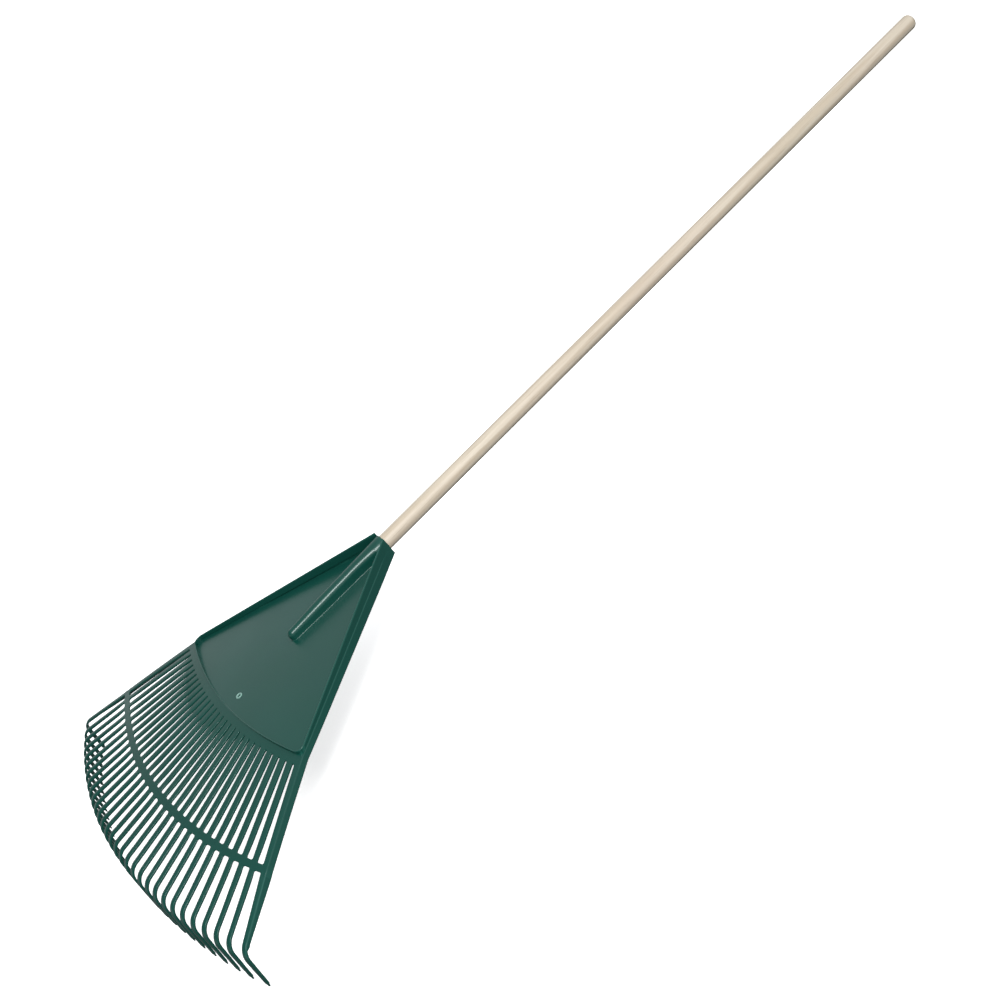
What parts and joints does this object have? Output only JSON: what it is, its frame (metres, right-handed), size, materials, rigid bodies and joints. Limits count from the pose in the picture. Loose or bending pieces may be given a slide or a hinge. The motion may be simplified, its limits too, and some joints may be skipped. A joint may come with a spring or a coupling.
{
  "type": "leaf rake",
  "caption": "Leaf rake with a fan-shaped moulded head, raised side flanges, a spreader bar, springy bent tines and a long round wooden handle.",
  "frame": {"origin": "on the handle's axis, in the plane of the head's mouth where the handle leaves the socket", "axes": "+X along the handle to its free end, +Z out of the face that the user sees, away from the tips, and +Y across the head"},
  "size_m": [1.5543, 0.6644, 0.1234],
  "materials": {
    "moulding": "dark green moulded polypropylene with a soft satin sheen and a fine moulded grain",
    "handle_wood": "pale straight-grained turned hardwood, sanded smooth, unvarnished",
    "screw_steel": "zinc-plated steel"
  },
  "bodies": {
    "head": {"head": "moulding", "handle": "handle_wood", "handle_screw": "screw_steel"},
    "tine_01": {"tine_01": "moulding"},
    "tine_02": {"tine_02": "moulding"},
    "tine_03": {"tine_03": "moulding"},
    "tine_04": {"tine_04": "moulding"},
    "tine_05": {"tine_05": "moulding"},
    "tine_06": {"tine_06": "moulding"},
    "tine_07": {"tine_07": "moulding"},
    "tine_08": {"tine_08": "moulding"},
    "tine_09": {"tine_09": "moulding"},
    "tine_10": {"tine_10": "moulding"},
    "tine_11": {"tine_11": "moulding"},
    "tine_12": {"tine_12": "moulding"},
    "tine_13": {"tine_13": "moulding"},
    "tine_14": {"tine_14": "moulding"},
    "tine_15": {"tine_15": "moulding"},
    "tine_16": {"tine_16": "moulding"},
    "tine_17": {"tine_17": "moulding"},
    "tine_18": {"tine_18": "moulding"},
    "tine_19": {"tine_19": "moulding"},
    "tine_20": {"tine_20": "moulding"},
    "tine_21": {"tine_21": "moulding"},
    "tine_22": {"tine_22": "moulding"},
    "tine_23": {"tine_23": "moulding"},
    "tine_24": {"tine_24": "moulding"},
    "tine_25": {"tine_25": "moulding"},
    "tine_26": {"tine_26": "moulding"},
    "tine_27": {"tine_27": "moulding"},
    "tine_28": {"tine_28": "moulding"},
    "tine_29": {"tine_29": "moulding"},
    "tine_30": {"tine_30": "moulding"}
  },
  "joints": [
    {"name": "tine_01_flex", "type": "hinge", "parent": "head", "child": "tine_01", "pos_m": [-0.38705, -0.27344, -0.03803], "axis": [-0.5909, 0.8068, 0], "range_deg": [-10, 14], "stiffness_Nm_per_rad": 1},
    {"name": "tine_02_flex", "type": "hinge", "parent": "head", "child": "tine_02", "pos_m": [-0.3935, -0.25388, -0.03567], "axis": [-0.5278, 0.8493, 0], "range_deg": [-10, 14], "stiffness_Nm_per_rad": 1},
    {"name": "tine_03_flex", "type": "hinge", "parent": "head", "child": "tine_03", "pos_m": [-0.39939, -0.23445, -0.03349], "axis": [-0.4924, 0.8704, 0], "range_deg": [-10, 14], "stiffness_Nm_per_rad": 1},
    {"name": "tine_04_flex", "type": "hinge", "parent": "head", "child": "tine_04", "pos_m": [-0.40474, -0.21516, -0.0315], "axis": [-0.4562, 0.8899, 0], "range_deg": [-10, 14], "stiffness_Nm_per_rad": 1},
    {"name": "tine_05_flex", "type": "hinge", "parent": "head", "child": "tine_05", "pos_m": [-0.40957, -0.196, -0.0297], "axis": [-0.4191, 0.9079, 0], "range_deg": [-10, 14], "stiffness_Nm_per_rad": 1},
    {"name": "tine_06_flex", "type": "hinge", "parent": "head", "child": "tine_06", "pos_m": [-0.41391, -0.17696, -0.02807], "axis": [-0.3814, 0.9244, 0], "range_deg": [-10, 14], "stiffness_Nm_per_rad": 1},
    {"name": "tine_07_flex", "type": "hinge", "parent": "head", "child": "tine_07", "pos_m": [-0.41776, -0.15802, -0.02662], "axis": [-0.343, 0.9393, 0], "range_deg": [-10, 14], "stiffness_Nm_per_rad": 1},
    {"name": "tine_08_flex", "type": "hinge", "parent": "head", "child": "tine_08", "pos_m": [-0.42114, -0.13919, -0.02533], "axis": [-0.304, 0.9527, 0], "range_deg": [-10, 14], "stiffness_Nm_per_rad": 1},
    {"name": "tine_09_flex", "type": "hinge", "parent": "head", "child": "tine_09", "pos_m": [-0.42407, -0.12045, -0.02422], "axis": [-0.2645, 0.9644, 0], "range_deg": [-10, 14], "stiffness_Nm_per_rad": 1},
    {"name": "tine_10_flex", "type": "hinge", "parent": "head", "child": "tine_10", "pos_m": [-0.42656, -0.10178, -0.02327], "axis": [-0.2246, 0.9744, 0], "range_deg": [-10, 14], "stiffness_Nm_per_rad": 1},
    {"name": "tine_11_flex", "type": "hinge", "parent": "head", "child": "tine_11", "pos_m": [-0.42862, -0.08318, -0.02248], "axis": [-0.1843, 0.9829, 0], "range_deg": [-10, 14], "stiffness_Nm_per_rad": 1},
    {"name": "tine_12_flex", "type": "hinge", "parent": "head", "child": "tine_12", "pos_m": [-0.43026, -0.06464, -0.02185], "axis": [-0.1437, 0.9896, 0], "range_deg": [-10, 14], "stiffness_Nm_per_rad": 1},
    {"name": "tine_13_flex", "type": "hinge", "parent": "head", "child": "tine_13", "pos_m": [-0.43148, -0.04614, -0.02138], "axis": [-0.1028, 0.9947, 0], "range_deg": [-10, 14], "stiffness_Nm_per_rad": 1},
    {"name": "tine_14_flex", "type": "hinge", "parent": "head", "child": "tine_14", "pos_m": [-0.43229, -0.02767, -0.02107], "axis": [-0.0617, 0.9981, 0], "range_deg": [-10, 14], "stiffness_Nm_per_rad": 1},
    {"name": "tine_15_flex", "type": "hinge", "parent": "head", "child": "tine_15", "pos_m": [-0.4327, -0.00922, -0.02091], "axis": [-0.0206, 0.9998, 0], "range_deg": [-10, 14], "stiffness_Nm_per_rad": 1},
    {"name": "tine_16_flex", "type": "hinge", "parent": "head", "child": "tine_16", "pos_m": [-0.4327, 0.00922, -0.02091], "axis": [0.0206, 0.9998, 0], "range_deg": [-10, 14], "stiffness_Nm_per_rad": 1},
    {"name": "tine_17_flex", "type": "hinge", "parent": "head", "child": "tine_17", "pos_m": [-0.43229, 0.02767, -0.02107], "axis": [0.0617, 0.9981, 0], "range_deg": [-10, 14], "stiffness_Nm_per_rad": 1},
    {"name": "tine_18_flex", "type": "hinge", "parent": "head", "child": "tine_18", "pos_m": [-0.43148, 0.04614, -0.02138], "axis": [0.1028, 0.9947, 0], "range_deg": [-10, 14], "stiffness_Nm_per_rad": 1},
    {"name": "tine_19_flex", "type": "hinge", "parent": "head", "child": "tine_19", "pos_m": [-0.43026, 0.06464, -0.02185], "axis": [0.1437, 0.9896, 0], "range_deg": [-10, 14], "stiffness_Nm_per_rad": 1},
    {"name": "tine_20_flex", "type": "hinge", "parent": "head", "child": "tine_20", "pos_m": [-0.42862, 0.08318, -0.02248], "axis": [0.1843, 0.9829, 0], "range_deg": [-10, 14], "stiffness_Nm_per_rad": 1},
    {"name": "tine_21_flex", "type": "hinge", "parent": "head", "child": "tine_21", "pos_m": [-0.42656, 0.10178, -0.02327], "axis": [0.2246, 0.9744, 0], "range_deg": [-10, 14], "stiffness_Nm_per_rad": 1},
    {"name": "tine_22_flex", "type": "hinge", "parent": "head", "child": "tine_22", "pos_m": [-0.42407, 0.12045, -0.02422], "axis": [0.2645, 0.9644, 0], "range_deg": [-10, 14], "stiffness_Nm_per_rad": 1},
    {"name": "tine_23_flex", "type": "hinge", "parent": "head", "child": "tine_23", "pos_m": [-0.42114, 0.13919, -0.02533], "axis": [0.304, 0.9527, 0], "range_deg": [-10, 14], "stiffness_Nm_per_rad": 1},
    {"name": "tine_24_flex", "type": "hinge", "parent": "head", "child": "tine_24", "pos_m": [-0.41776, 0.15802, -0.02662], "axis": [0.343, 0.9393, 0], "range_deg": [-10, 14], "stiffness_Nm_per_rad": 1},
    {"name": "tine_25_flex", "type": "hinge", "parent": "head", "child": "tine_25", "pos_m": [-0.41391, 0.17696, -0.02807], "axis": [0.3814, 0.9244, 0], "range_deg": [-10, 14], "stiffness_Nm_per_rad": 1},
    {"name": "tine_26_flex", "type": "hinge", "parent": "head", "child": "tine_26", "pos_m": [-0.40957, 0.196, -0.0297], "axis": [0.4191, 0.9079, 0], "range_deg": [-10, 14], "stiffness_Nm_per_rad": 1},
    {"name": "tine_27_flex", "type": "hinge", "parent": "head", "child": "tine_27", "pos_m": [-0.40474, 0.21516, -0.0315], "axis": [0.4562, 0.8899, 0], "range_deg": [-10, 14], "stiffness_Nm_per_rad": 1},
    {"name": "tine_28_flex", "type": "hinge", "parent": "head", "child": "tine_28", "pos_m": [-0.39939, 0.23445, -0.03349], "axis": [0.4924, 0.8704, 0], "range_deg": [-10, 14], "stiffness_Nm_per_rad": 1},
    {"name": "tine_29_flex", "type": "hinge", "parent": "head", "child": "tine_29", "pos_m": [-0.3935, 0.25388, -0.03567], "axis": [0.5278, 0.8493, 0], "range_deg": [-10, 14], "stiffness_Nm_per_rad": 1},
    {"name": "tine_30_flex", "type": "hinge", "parent": "head", "child": "tine_30", "pos_m": [-0.38705, 0.27344, -0.03803], "axis": [0.5909, 0.8068, 0], "range_deg": [-10, 14], "stiffness_Nm_per_rad": 1}
  ]
}
